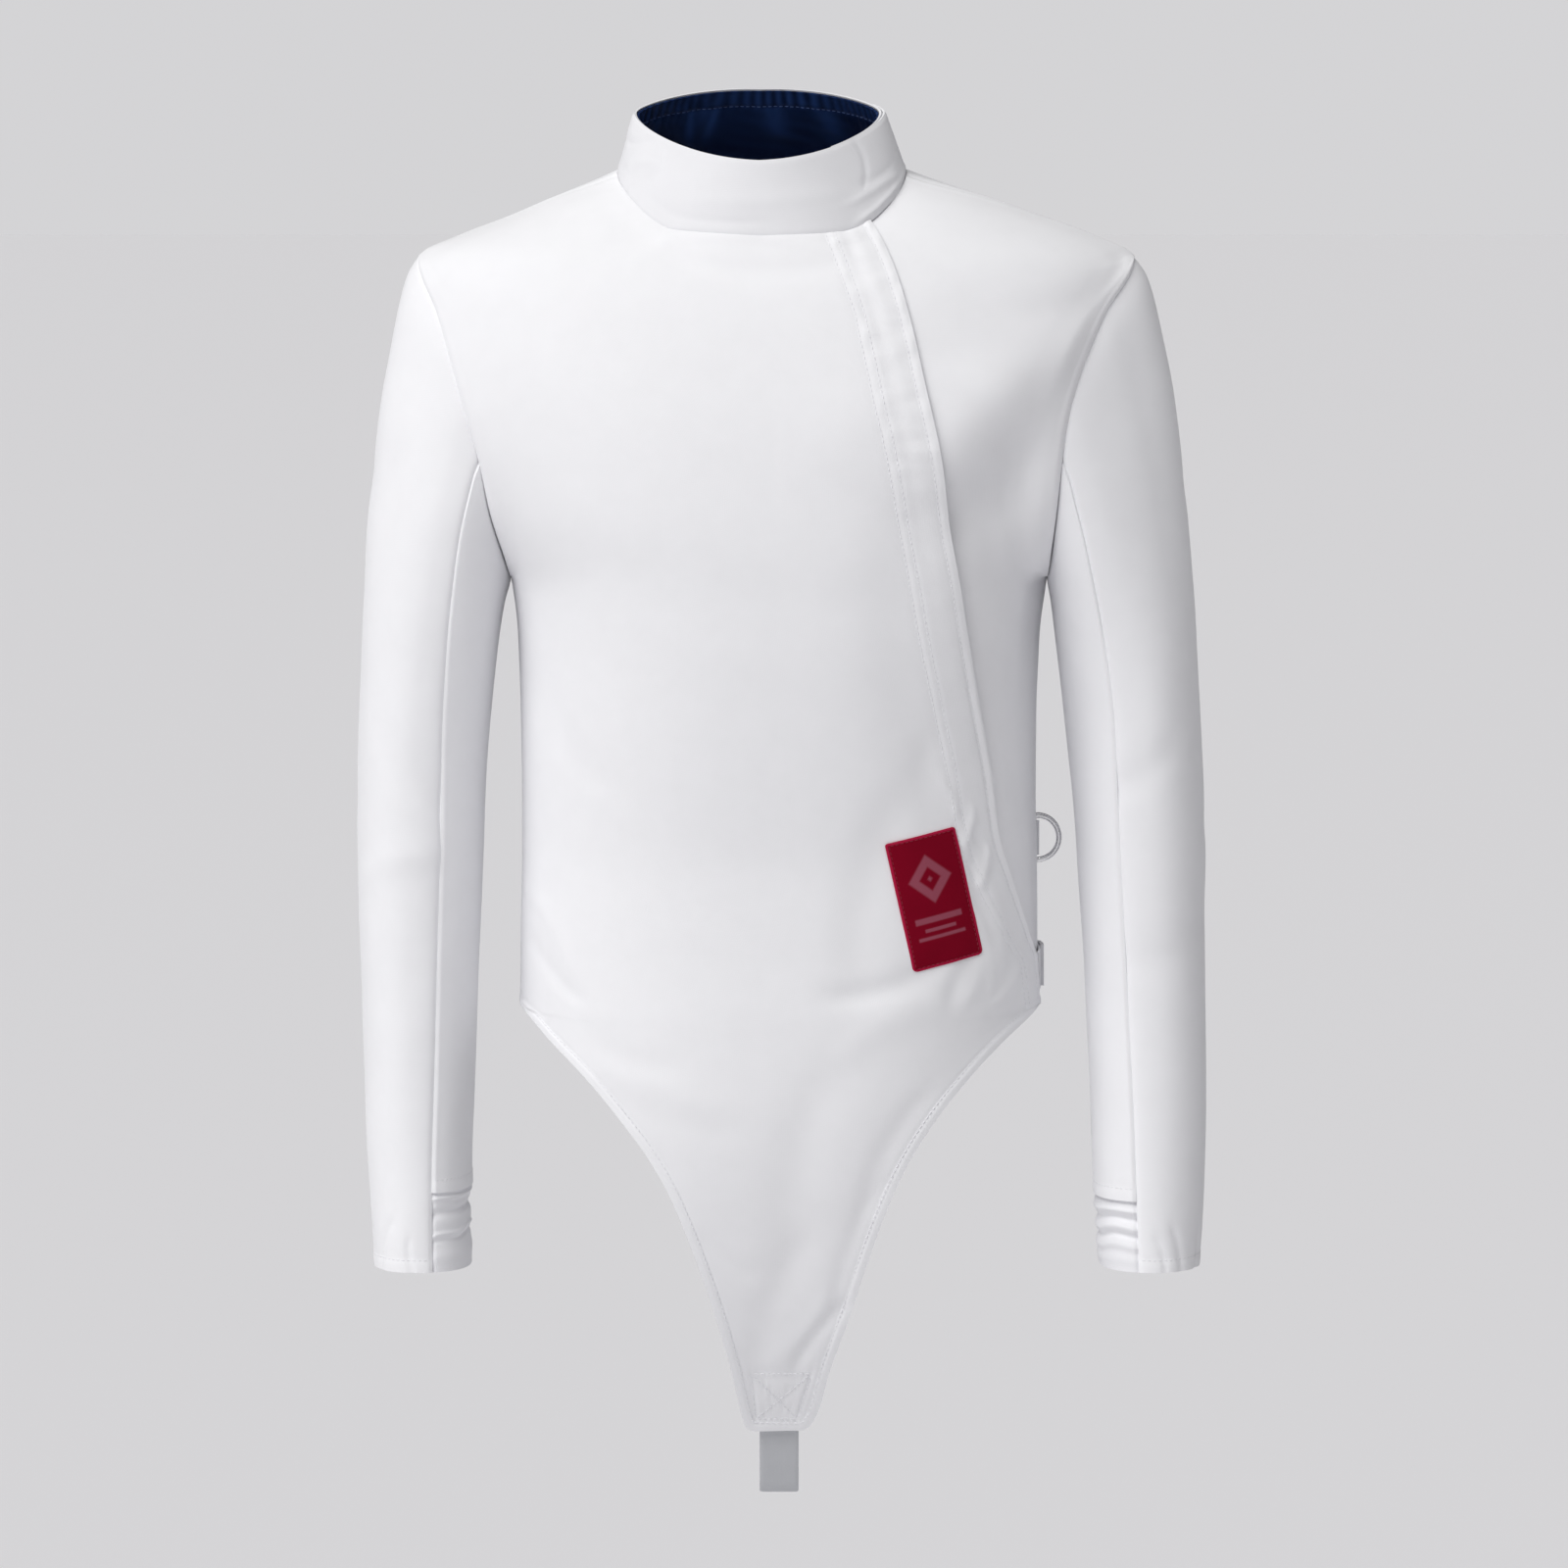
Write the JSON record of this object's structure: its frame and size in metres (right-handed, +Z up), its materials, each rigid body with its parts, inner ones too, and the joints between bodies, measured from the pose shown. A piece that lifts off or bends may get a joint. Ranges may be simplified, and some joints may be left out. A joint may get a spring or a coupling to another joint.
{
  "type": "fencing jacket",
  "caption": "White fencing jacket filled out with no wearer: standing collar, diagonal lapped front, open sleeves and hem, leg-cut tongue with crotch strap, side D-ring.",
  "frame": {"origin": "the middle of the shoulders, where the wearer carries the jacket, 36 mm below the back neck seam", "axes": "+Z up, +X to the wearer's left, -Y out of the front"},
  "size_m": [0.5449, 0.245, 0.9011],
  "materials": {
    "white_cloth": "matt woven cloth",
    "white_elastic": "gathered elastic cloth",
    "navy_lining": "satin cloth",
    "red_label": "woven label",
    "grey_webbing": "elastic webbing",
    "white_webbing": "woven webbing",
    "slider_plastic": "matt moulded",
    "ring_steel": "plated wire"
  },
  "bodies": {
    "jacket": {"front_outer": "white_cloth", "front_under": "white_cloth", "back": "white_cloth", "collar": "white_cloth", "collar_lining": "navy_lining", "front_placket": "white_cloth", "label": "red_label", "top_sleeve_right": "white_cloth", "top_sleeve_left": "white_cloth", "under_sleeve_right": "white_cloth", "under_sleeve_left": "white_cloth", "cuff_elastic_right": "white_elastic", "cuff_elastic_left": "white_elastic", "crotch_strap": "grey_webbing", "hip_tab": "white_webbing", "hip_slider": "slider_plastic", "d_ring_loop": "white_webbing"},
    "d_ring": {"d_ring": "ring_steel"}
  },
  "joints": [
    {"name": "d_ring_swing", "type": "hinge", "parent": "jacket", "child": "d_ring", "pos_m": [0.16504, 0.03067, -0.4017], "axis": [0, 0, 1], "range_deg": [-50, 90]}
  ]
}
